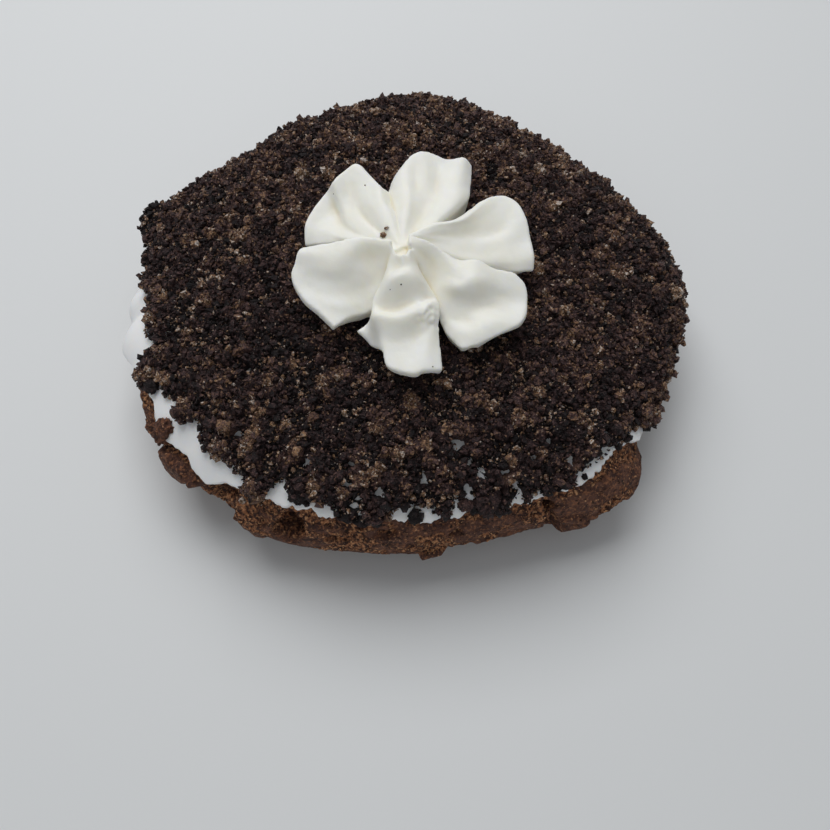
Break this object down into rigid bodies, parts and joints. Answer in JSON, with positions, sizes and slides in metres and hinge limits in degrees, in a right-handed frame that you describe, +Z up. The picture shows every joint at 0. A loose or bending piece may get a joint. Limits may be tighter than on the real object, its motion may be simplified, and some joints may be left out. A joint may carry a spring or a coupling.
{
  "type": "cake doughnut",
  "caption": "Iced chocolate cake doughnut with a flat foot, a crust of dark cookie crumbs over white icing, bare cake along one side and a piped white rosette on top.",
  "frame": {"origin": "middle of the bounding box in plan, on the plane of the flat foot", "axes": "+Z up; -Y towards the side where the crumbs thin out and the bare cake shows; +X to the right as seen from that side"},
  "size_m": [0.1075, 0.1024, 0.0412],
  "materials": {
    "cake": "baked chocolate cake: matte, rough and open-pored, dark brown crust with orange-brown broken patches",
    "icing": "smooth white icing with a soft satin surface",
    "crumbs": "dry crushed dark cookie: matte, near black, mixed with brown and tan crumbs",
    "frosting": "piped white frosting: smooth, satin, faintly creamy in its folds"
  },
  "bodies": {
    "root": {"cake": "cake", "icing": "icing", "crumb_topping": "crumbs", "rosette": "frosting"}
  },
  "joints": []
}
